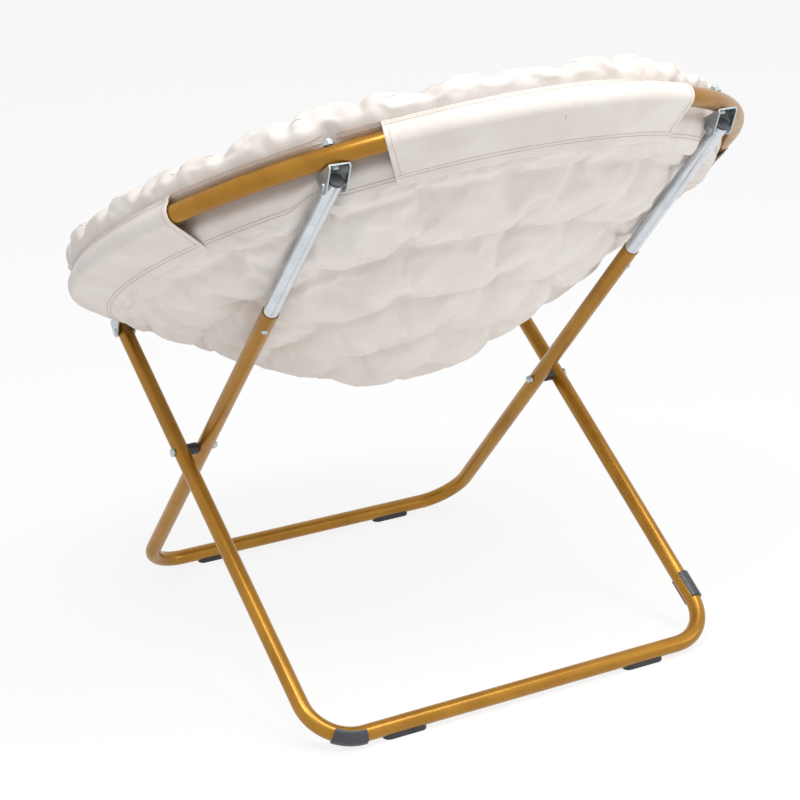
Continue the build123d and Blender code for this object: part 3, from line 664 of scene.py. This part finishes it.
def wrap_uv(bm, centre, reach):
    """Flat cloth of a roll: along the ring, and round the section with its reach as radius."""
    uv = bm.loops.layers.uv.get("cloth") or bm.loops.layers.uv.new("cloth")
    for face in bm.faces:
        middle = face.calc_center_median()
        lap = atan2(middle.y, middle.x)
        lean = atan2(middle.z - centre[1], hypot(middle.x, middle.y) - centre[0])
        for loop in face.loops:
            co = loop.vert.co
            turn = near_turn(atan2(co.y, co.x), lap)
            round_it = near_turn(atan2(co.z - centre[1], hypot(co.x, co.y) - centre[0]), lean)
            loop[uv].uv = (turn * RING_R, round_it * reach)


# %% Shape of the woven roll round the ring
ROLL = (412 * MM, 34 * MM)
ROLL_WIDE = 41 * MM
ROLL_HIGH = 24 * MM
CREST = ((-40, 58), (0, 58), (20, 56), (27, 54), (34, 54), (41, 60), (48, 64), (54, 62), (58, 58),
         (65, 54), (88, 53), (95, 57), (105, 59), (115, 55), (130, 50), (150, 48), (170, 54), (200, 58))
SLACK = ((95, 0), (122, 24), (172, 24), (200, 0))
BARE = ((25.3, 60.8), (114.2, 163), (-135.5, -124.5), (-55.5, -44.5))
FOOT_LEANS = (-90, -75, -60, -50, -40, -30, -20, -10, 0)
FOOT_SLEEVED = np.array(((412, 8), (421.5, 6.8), (429.5, 6.6), (434, 9.5), (438.5, 13.4), (444.5, 17.6),
                         (449, 23.5), (451.8, 30), (453, 34))) * MM
FOOT_BARE = np.array(((412, 8), (421.5, 6.8), (429.5, 6.6), (434, 9), (437.4, 12.6), (441.5, 15.2),
                      (446.5, 18.4), (450.6, 24.5), (452.6, 34))) * MM


def round_ring(table, turn):
    """Value at a turn from a table of (degrees, mm) round the ring."""
    places, values = zip(*table)
    return float(np.interp(degrees(turn), places, values, period=360)) * MM


def bareness(turn):
    """1 where the ring tube is bare, 0 under a sleeve."""
    shares = []
    for low, high in BARE:
        place = degrees(near_turn(turn, radians((low + high) / 2)))
        shares.append(ease(place, low - 1, low + 1) * (1 - ease(place, high - 1, high + 1)))
    return max(shares)


def foot(lean, turn):
    """Point (radius, height) of the roll's foot, which hugs the tube or the sleeve on it."""
    bare = bareness(turn)
    return Vector([float(np.interp(lean, FOOT_LEANS, FOOT_SLEEVED[:, k])) * (1 - bare)
                   + float(np.interp(lean, FOOT_LEANS, FOOT_BARE[:, k])) * bare for k in (0, 1)])


# %% Puckers and dents
PUCKERS = np.radians((-19, -10, 0, 9, 18.5, 27, 36, 47, 58, 68, 79, 90, 101, 113, 124, 134, 143, 153, 163,
                      172, 181, 190.5, 200, 210, 219, 229, 238, 248, 257, 267, 276, 285, 295, 304, 314,
                      322, 331))
PUCKER_WIDE = 10 * MM
PUCKER_DEEP = np.array([7 + 5 * noise.noise(Vector((place * 3.1, 0.5, 0))) for place in PUCKERS]) * MM
NUT_ROOM = RING_R - 10.5 * MM
NUT_WIDE = 14 * MM
nut_turns = []
for end in ("front", "back"):
    for side in ("left", "right"):
        middle = to_seat @ (sum(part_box(f"{end}_cap_nut_{side}"), Vector()) / 2)
        nut_turns.append(atan2(middle.y, middle.x))
print("nuts at degrees:", [round(degrees(turn), 1) for turn in nut_turns])


def pucker_gaps(turn):
    """Distances round the ring to every pucker."""
    return ((turn - PUCKERS + pi) % (2 * pi) - pi) * RING_R


def pucker(turn):
    """Depth of the puckers at a turn."""
    return float(np.sum(PUCKER_DEEP * np.exp(-(pucker_gaps(turn) / PUCKER_WIDE) ** 2)))


def nut_dent(radius, height, turn):
    """How far the roll gives way to the nuts."""
    share = sum(exp(-((near_turn(turn, nut) - nut) * RING_R / NUT_WIDE) ** 2) for nut in nut_turns)
    return max(radius - NUT_ROOM, 0) * share * (1 - ease(height, 27 * MM, 40 * MM))


# %% Make the woven roll
bm = spin_roll(ROLL, ROLL_WIDE, ROLL_HIGH, 28, 400)
ways = []
for vert in bm.verts:
    turn = atan2(vert.co.y, vert.co.x)
    out = Vector((hypot(vert.co.x, vert.co.y) - ROLL[0], vert.co.z - ROLL[1]))
    lean = degrees(atan2(out.y / ROLL_HIGH, out.x / ROLL_WIDE))
    ways.append((lean, turn))
    if lean > 0:
        out.y *= (round_ring(CREST, turn) - ROLL[1]) / ROLL_HIGH
    elif lean > -90:
        out = foot(lean, turn) - Vector(ROLL)
    shown = ease(lean, -20, 25) * (1 - ease(lean, 120, 165))
    wave = noise.noise(Vector((cos(turn), sin(turn), 0)) * 9) * 4 * MM
    out *= 1 + shown * (wave - pucker(turn)) / out.length
    radius, height = ROLL[0] + out.x - round_ring(SLACK, turn), ROLL[1] + out.y
    vert.co = ring_point(radius - nut_dent(radius, height, turn), turn, height)
wrap_uv(bm, ROLL, 34 * MM)
rim = seat_piece(bm, "gathered_rim", canvas, ("rim_roll",))
pins = {}
for index, (lean, turn) in enumerate(ways):
    if lean < -12 or lean > 125:
        pins[index] = 1.0
    elif 50 < lean < 75 and np.abs(pucker_gaps(turn)).min() < 4 * MM:
        pins[index] = 1.0
puff(rim, pins, pressure=2.0, grow=0.09, gravity=0.05, cap=10 * MM)

# %% Plush side of the roll
INNER_ROLL = (396 * MM, 37 * MM)
INNER_HIGH = 30 * MM
PEEK = 8 * MM
PEEK_TURN, PEEK_WIDE = 75, 14  # degrees round the ring
bm = spin_roll(INNER_ROLL, 28 * MM, INNER_HIGH, 26, 300)
ways = []
for vert in bm.verts:
    turn = atan2(vert.co.y, vert.co.x)
    out = Vector((hypot(vert.co.x, vert.co.y) - INNER_ROLL[0], vert.co.z - INNER_ROLL[1]))
    lean = degrees(atan2(out.y, out.x))
    ways.append((lean, turn))
    peek = PEEK * exp(-((degrees(near_turn(turn, radians(PEEK_TURN))) - PEEK_TURN) / PEEK_WIDE) ** 2)
    if lean > 0:
        out.y *= (round_ring(CREST, turn) - 3 * MM + peek - INNER_ROLL[1]) / INNER_HIGH
    shown = ease(lean, 20, 70) if lean > 0 else ease(-lean, 60, 120)
    wave = noise.noise(Vector((cos(turn), sin(turn), 3)) * 7) * 5 * MM
    out *= 1 + shown * (wave - 0.8 * pucker(turn)) / out.length
    radius = INNER_ROLL[0] + out.x - round_ring(SLACK, turn)
    vert.co = ring_point(radius, turn, INNER_ROLL[1] + out.y)
wrap_uv(bm, INNER_ROLL, 29 * MM)
plush_rim = seat_piece(bm, "plush_rim", plush)
pins = {}
for index, (lean, turn) in enumerate(ways):
    if -140 < lean < 40:
        pins[index] = 1.0
    elif 110 < lean < 135 and np.abs(pucker_gaps(turn)).min() < 6 * MM:
        pins[index] = 1.0
puff(plush_rim, pins, pressure=2.0, grow=0.06, cap=8 * MM)

# %% [markdown]
# ## The sleeves
# Four stretches of doubled cloth wrap round the ring and are sewn to the seat above and below. They
# stop short of the brackets, where the gold tube shows. Each starts as the line of its section: up
# from the lower seam, round the outside of the tube, to the seam under the roll. Spin sweeps that
# line along the ring. The ends are then moved to the hems' places. A hem is given by its turn round
# the ring in degrees, or as a cut at a constant x. The right sleeve starts further round than a mirror
# image of the left one would. The photograph shows none of it beside the bracket, and its open end,
# which looks dark from the camera, is then mostly hidden.

# %% Section of a sleeve
SLEEVE = 2 * MM
HEM_LIP = 0.9 * MM
LOOSE = 2.5 * MM
SLEEVE_STEPS = 64
WRAP_R = TUBE_R + 0.3 * MM + SLEEVE / 2
HEM = Vector((409.8 * MM, -40 * MM))
SEAM = Vector((449.5 * MM, 20.5 * MM))
tube_at = Vector((RING_R, 0))
to_hem = HEM - tube_at
leave = atan2(to_hem.y, to_hem.x) + np.arccos(WRAP_R / to_hem.length)
tangent = tube_at + Vector((cos(leave), sin(leave))) * WRAP_R
section = [Vector((403 * MM, -46 * MM))] + [HEM.lerp(tangent, k / 12) for k in range(12)]
top = radians(58)
span = (top - leave) % (2 * pi)
section += [tube_at + Vector((cos(leave + span * k / 14), sin(leave + span * k / 14))) * WRAP_R
            for k in range(15)]
section += [section[-1].lerp(SEAM, 0.5), SEAM, Vector((440 * MM, 24 * MM))]
lengths = [0.0]
for low, high in zip(section, section[1:]):
    lengths.append(lengths[-1] + (high - low).length)
print("sleeve's width mm:", round(lengths[-1] / MM, 1))


# %% Sweep the four sleeves
def hem_turn(hem, radius):
    """Where a hem lies at a radius: a turn in degrees, or a constant x with its quarter."""
    if hem[0] == "turn":
        return radians(hem[1])
    quarter = 1 if hem[1] > 0 else -1
    reach = atan2(-sqrt(radius ** 2 - hem[1] ** 2), hem[1])
    return reach if hem[2] == "low" else reach + 2 * pi * (quarter < 0)


HEMS = {
    "sleeve_left": (("x", 322 * MM, "low"), ("turn", 25.3)),
    "sleeve_back": (("turn", 60.8), ("turn", 114.2)),
    "sleeve_right": (("turn", 163), ("x", -322 * MM, "high")),
    "sleeve_front": (("x", -254 * MM, "low"), ("x", 254 * MM, "low")),
}
sleeves = {}
for name, (first, last) in HEMS.items():
    bm = bmesh.new()
    line = [bm.verts.new((p.x, 0, p.y)) for p in section]
    for low, high in zip(line, line[1:]):
        bm.edges.new((low, high))
    bmesh.ops.spin(bm, geom=bm.verts[:] + bm.edges[:], cent=(0, 0, 0), axis=(0, 0, 1), dvec=(0, 0, 0),
                   angle=1.0, steps=SLEEVE_STEPS, use_merge=False)
    uv = bm.loops.layers.uv.new("cloth")
    spots = {}
    for vert in bm.verts:
        share = min(max(atan2(vert.co.y, vert.co.x), 0), 1)
        share = 0.3 * share + 0.35 * (1 - cos(pi * share))
        radius = hypot(vert.co.x, vert.co.y)
        start, end = hem_turn(first, radius), hem_turn(last, radius)
        if end < start:
            end += 2 * pi
        turn = start + (end - start) * share
        at = min(range(len(section)),
                 key=lambda k: abs(section[k].x - radius) + abs(section[k].y - vert.co.z))
        spots[vert] = (turn * RING_R, lengths[at])
        hem_gap = min(turn - start, end - turn) * radius
        lip = HEM_LIP * (1 - ease(hem_gap, 7 * MM, 8.5 * MM)) * ease(lengths[at], 6 * MM, 10 * MM)
        loose = LOOSE * noise.noise(Vector((turn * 5, lengths[at] * 20, 1)))
        loose *= ease(lengths[at], 8 * MM, 24 * MM)
        loose *= 1 - ease(lengths[at], 44 * MM, 58 * MM)
        away = (Vector((radius, vert.co.z)) - tube_at).normalized()
        slack = round_ring(SLACK, turn) * ease(at, len(section) - 4, len(section) - 2)
        vert.co = ring_point(radius - slack + away.x * lip + loose, turn,
                             vert.co.z + away.y * lip - loose * 0.5)
    for face in bm.faces:
        for loop in face.loops:
            loop[uv].uv = spots[loop.vert]
    bmesh.ops.recalc_face_normals(bm, faces=bm.faces)
    outer = max(bm.faces, key=lambda f: f.calc_center_median().xy.length)
    middle = outer.calc_center_median()
    if outer.normal.xy.dot(middle.xy) < 0:
        bmesh.ops.reverse_faces(bm, faces=bm.faces)
    flat_area = sum(face.calc_area() for face in bm.faces)
    sleeve = seat_piece(bm, name, canvas, ("seat_sleeve",), levels=0)
    wall = sleeve.modifiers.new("wall", "SOLIDIFY")
    wall.thickness = SLEEVE
    wall.offset = 0
    rounder = sleeve.modifiers.new("rounder", "SUBSURF")
    rounder.levels = rounder.render_levels = 1
    sleeves[name] = sleeve

# %% [markdown]
# ## Stitching
# Two rows of stitches run side by side along each seam, and a short tie shows at every tuft. A stitch
# is a small six-sided bar that lies on the cloth, so the rows read as stitching at any distance. The
# pitch is 3.6 mm with stitches 2.6 mm long, as an upholstery machine is set. The stitches on the
# woven pad are a piece of their own.

# %% Sew rows of stitches
STITCH = 2.6 * MM
PITCH = 3.6 * MM
THREAD_R = 0.4 * MM
bpy.context.view_layer.update()
skins = {piece: BVHTree.FromObject(piece, bpy.context.evaluated_depsgraph_get())
         for piece in (underside, rim, *sleeves.values())}
sewn = bmesh.new()
pad_sewn = bmesh.new()


def sew(bm, middle, along, out, length=STITCH):
    """One stitch, its middle at a point, lying along a direction on cloth that faces out."""
    side = along.cross(out).normalized()
    pose = Matrix((side, along.cross(side).normalized(), along.normalized())).transposed().to_4x4()
    pose.translation = middle
    bmesh.ops.create_cone(bm, cap_ends=True, segments=6, radius1=THREAD_R, radius2=THREAD_R, depth=length,
                          matrix=pose)


def sew_row(piece, places, length=STITCH):
    """A row of stitches on a piece, each where its skin is nearest to a place of the seat's frame."""
    spots = [skins[piece].find_nearest(SEAT @ place)[:2] for place in places]
    row = bmesh.new()
    for k, (spot, out) in enumerate(spots):
        along = spots[min(k + 1, len(spots) - 1)][0] - spots[max(k - 1, 0)][0]
        along -= out * along.dot(out)
        sew(row, spot + out * THREAD_R * 0.4, along, out, length)
    mesh = bpy.data.meshes.new("row")
    row.to_mesh(mesh)
    row.free()
    (pad_sewn if piece is underside else sewn).from_mesh(mesh)
    bpy.data.meshes.remove(mesh)


def arc(radius, height, first, last, slack=False):
    """Places of stitches round the ring, from turn to turn."""
    count = max(ceil((last - first) * radius / PITCH), 2)
    turns = [first + (last - first) * (k + 0.5) / count for k in range(count)]
    return [ring_point(radius - slack * round_ring(SLACK, turn), turn, height) for turn in turns]


# %% Rows on the sleeves
def off_section(at, lift):
    """A point off the outside of the sleeve's section, at a distance along it."""
    k = max(i for i in range(len(section) - 1) if lengths[i] <= at)
    step = section[k + 1] - section[k]
    point = section[k] + step * (at - lengths[k]) / step.length
    return point + Vector((step.y, -step.x)).normalized() * lift


HEM_START = lengths[1]
ROW_END = 0.006  # radians left free at both ends of a row
seam_at = lengths[-2]
lap_ends = []
for name, (first, last) in HEMS.items():
    for at in (HEM_START + 4 * MM, HEM_START + 8.5 * MM, seam_at - 4.5 * MM, seam_at - 0.5 * MM):
        point = off_section(at, 3 * MM)
        start, end = hem_turn(first, point.x), hem_turn(last, point.x)
        end += 2 * pi * (end < start)
        sew_row(sleeves[name], arc(point.x, point.y, start + ROW_END, end - ROW_END,
                                   at > seam_at - 5 * MM))
    start, end = hem_turn(first, RING_R), hem_turn(last, RING_R)
    lap_ends.append((start, end + 2 * pi * (end < start)))
    for hem, way in ((first, 1), (last, -1)):
        points = [off_section(HEM_START + 10 * MM + k * PITCH, 3 * MM)
                  for k in range(int((seam_at - HEM_START - 16 * MM) / PITCH))]
        sew_row(sleeves[name],
                [ring_point(point.x, hem_turn(hem, point.x) + way * 7 * MM / point.x, point.y)
                 for point in points])
tack = off_section(HEM_START + 46 * MM, 3 * MM)
sew_row(sleeves["sleeve_back"],
        [ring_point(tack.x, radians(88), tack.y - k * 2.5 * MM) for k in range(4)])
print("stitched vertices on the sleeves:", len(sewn.verts))

# %% Rows that carry on over the bare stretches
order = sorted(lap_ends, key=lambda ends: ends[0] % (2 * pi))
for (_, end), (start, _) in zip(order, order[1:] + order[:1]):
    end, start = end % (2 * pi), start % (2 * pi)
    start += 2 * pi * (start < end)
    for radius, height in ((447.5 * MM, 15.5 * MM), (452 * MM, 20 * MM)):
        sew_row(rim, arc(radius, height, end, start, True))
    for radius, height in ((413 * MM, -36.5 * MM), (412 * MM, -41 * MM)):
        sew_row(underside, arc(radius, height, end, start))

# %% Ties at the tufts and tacks on the roll
ROLL_TACKS = (-29, -16, -2, 12.5, 27, 34, 48.75, 63, 77, 92, 107, 121, 136, 150, 165, 180, 195, 210, 225,
              240, 255, 270, 285, 300, 315)
for run, turn in ties:
    place = dish(run, turn, underside_inset(run, turn) - 4 * MM)
    side = Vector((sin(turn), -cos(turn), 0)) * 1.2 * MM
    sew_row(underside, [place - side, place + side], 4 * MM)
for turn in ROLL_TACKS:
    sew_row(rim, arc(447 * MM, 54 * MM, radians(turn - 1), radians(turn + 1), True))
sewn.transform(to_seat)
pad_sewn.transform(to_seat)
seat_piece(sewn, "stitching", thread, levels=0)
pad_stitching = seat_piece(pad_sewn, "pad_stitching", thread, levels=0)

# %% [markdown]
# ## Folding
# When the chair folds, the padded seat is pressed flat between the ring and the legs. Here both pads
# and the stitches on the woven pad only get their own copies of their meshes; nothing flattens them.
# The roll, the sleeves and their stitches stay round the ring.

# %% Give the pads their own meshes
for pad in (underside, bowl, pad_stitching):
    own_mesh(pad)

# %% [markdown]
# ## Floor, light and camera
# The chair stands on a plain white floor. The floor and the world look white to the camera, to glossy
# rays and to rays through glass, while the light that reaches the object stays soft and plain. The
# camera stands where the photographer did, behind the chair and to its left.



# %% White floor that keeps the shadow
def seen_directly(tree):
    """1 for a ray from the camera, a mirror or glass, 0 for the light that falls on the object."""
    rays = add(tree, "LightPath", {})
    seen = add(tree, "Math", {"operation": "MAXIMUM"},
               {0: rays.outputs["Is Camera Ray"], 1: rays.outputs["Is Glossy Ray"]})
    seen = add(tree, "Math", {"operation": "MAXIMUM"},
               {0: seen.outputs[0], 1: rays.outputs["Is Transmission Ray"]})
    return seen.outputs[0]


FLOOR_HALF = 16
FLOOR_WHITE = 0.85  # share of the floor's look that is plain white; the rest shows the shadow
floor_bm = bmesh.new()
bmesh.ops.create_grid(floor_bm, x_segments=1, y_segments=1, size=FLOOR_HALF)
floor_mesh = bpy.data.meshes.new("floor")
floor_bm.to_mesh(floor_mesh)
floor_bm.free()
floor = bpy.data.objects.new("floor", floor_mesh)
floor_mesh.transform(Matrix.Translation((0, 0, cad_low.z - 0.2 * MM)))
bpy.context.scene.collection.objects.link(floor)
floor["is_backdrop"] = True
paper, tree, shader = begin("white_paper_floor", "#FFFFFF", 0.0, 0.95)
white = add(tree, "Emission", {"Color": (1, 1, 1, 1), "Strength": 1.0})
share = add(tree, "Math", {"operation": "MULTIPLY", 1: FLOOR_WHITE}, {0: seen_directly(tree)})
lit = add(tree, "MixShader", {}, {0: share.outputs[0], 1: shader.outputs[0], 2: white.outputs[0]})
tree.links.new(lit.outputs[0], tree.nodes["Material Output"].inputs["Surface"])
floor_mesh.materials.append(paper)

# %% World
world = bpy.data.worlds.new("studio")
bpy.context.scene.world = world
world.use_nodes = True
tree = world.node_tree
backdrop = add(tree, "Background", {"Color": (1, 1, 1, 1), "Strength": 1.0})
room = tree.nodes["Background"]
room.inputs["Color"].default_value = (1, 1, 1, 1)
room.inputs["Strength"].default_value = 0.5
both = add(tree, "MixShader", {}, {0: seen_directly(tree), 1: room.outputs[0], 2: backdrop.outputs[0]})
tree.links.new(both.outputs[0], tree.nodes["World Output"].inputs["Surface"])


# %% Soft boxes
def soft_box(name, place, size, watts, target=(0, 0, 0.5)):
    """A square area light aimed at the chair."""
    light = bpy.data.lights.new(name, "AREA")
    light.size = size
    light.energy = watts
    lamp = bpy.data.objects.new(name, light)
    bpy.context.scene.collection.objects.link(lamp)
    lamp.location = place
    lamp.rotation_euler = (Vector(target) - Vector(place)).to_track_quat("-Z", "Y").to_euler()


soft_box("key", (-0.7, 1.2, 3.1), 1.4, 44)
soft_box("top_strip", (0.9, 1.0, 2.9), 0.7, 26)
soft_box("fill", (-2.6, 2.2, 1.3), 1.6, 14)

# %% Camera at the photograph's viewpoint
lens = bpy.data.cameras.new("camera")
lens.sensor_width, lens.lens = 36, 92.3
camera = bpy.data.objects.new("camera", lens)
camera.matrix_world = (
    Matrix.Translation((1.2952, 2.3374, 1.2369))
    @ Matrix.Rotation(pi - 0.49923, 4, "Z")
    @ Matrix.Rotation(pi / 2 - 0.3267, 4, "X")
    @ Matrix.Rotation(-0.02915, 4, "Z")
)
bpy.context.scene.collection.objects.link(camera)
bpy.context.scene.camera = camera
bpy.context.scene.view_settings.view_transform = "Standard"

# %% [markdown]
# ## Measuring
# The dressed chair's box is compared with the CAD model's; how far it reaches past it is printed.

# %% Sizes
low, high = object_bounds()
print("grown by mm:", [round(v * 1000, 1) for v in cad_low - low],
      [round(v * 1000, 1) for v in high - cad_high])
